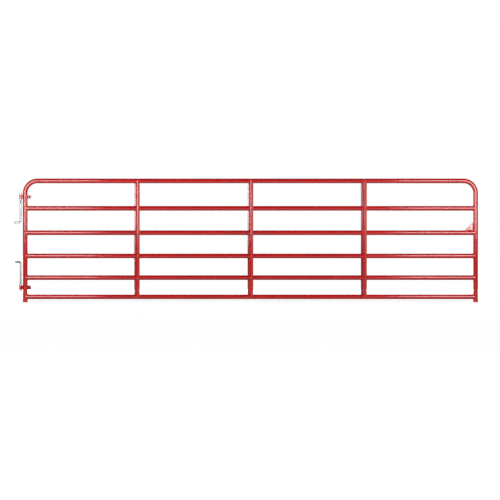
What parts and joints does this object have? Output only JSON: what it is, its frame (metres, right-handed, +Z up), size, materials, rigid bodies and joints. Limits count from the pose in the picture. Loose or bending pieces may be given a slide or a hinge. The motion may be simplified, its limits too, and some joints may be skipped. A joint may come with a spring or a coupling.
{
  "type": "field gate",
  "caption": "Tube field gate with a bent frame, straight rails, Z section braces, strap hinges with stowed J-bolts, and a keyhole latch plate for a chain.",
  "frame": {"origin": "on the swing axis, in the middle of the lower hinge eye", "axes": "+Z up along the swing axis, +X along the gate from its hinge end to its latch end, front of the gate towards -Y"},
  "size_m": [4.9712, 0.0882, 1.3258],
  "materials": {
    "red_coat": "glossy red powder coat on welded steel tube",
    "zinc_plate": "bright zinc plate",
    "dark_steel": "blackened steel fasteners"
  },
  "bodies": {
    "gate": {"outer_frame": "red_coat", "second_rail": "red_coat", "third_rail": "red_coat", "fourth_rail": "red_coat", "fifth_rail": "red_coat", "bottom_rail": "red_coat", "hinge_side_brace": "red_coat", "middle_brace": "red_coat", "latch_side_brace": "red_coat", "latch_plate": "red_coat", "upper_hinge_strap": "red_coat", "upper_clamp_bolt": "dark_steel", "upper_clamp_washer": "dark_steel", "upper_clamp_nut": "dark_steel", "lower_hinge_strap": "red_coat", "lower_clamp_bolt": "dark_steel", "lower_clamp_washer": "dark_steel", "lower_clamp_nut": "dark_steel"},
    "upper_j_bolt": {"upper_j_bolt": "zinc_plate", "upper_j_bolt_top_nut": "zinc_plate", "upper_j_bolt_bottom_nut": "zinc_plate"},
    "lower_j_bolt": {"lower_j_bolt": "zinc_plate", "lower_j_bolt_top_nut": "zinc_plate", "lower_j_bolt_bottom_nut": "zinc_plate"}
  },
  "joints": [
    {"name": "upper_hinge_swing", "type": "hinge", "parent": "gate", "child": "upper_j_bolt", "pos_m": [0, 0, 0.9716], "axis": [0, 0, 1], "range_deg": [-135, 135]},
    {"name": "lower_hinge_swing", "type": "hinge", "parent": "gate", "child": "lower_j_bolt", "pos_m": [0, 0, 0], "axis": [0, 0, 1], "range_deg": [-180, 90]}
  ]
}
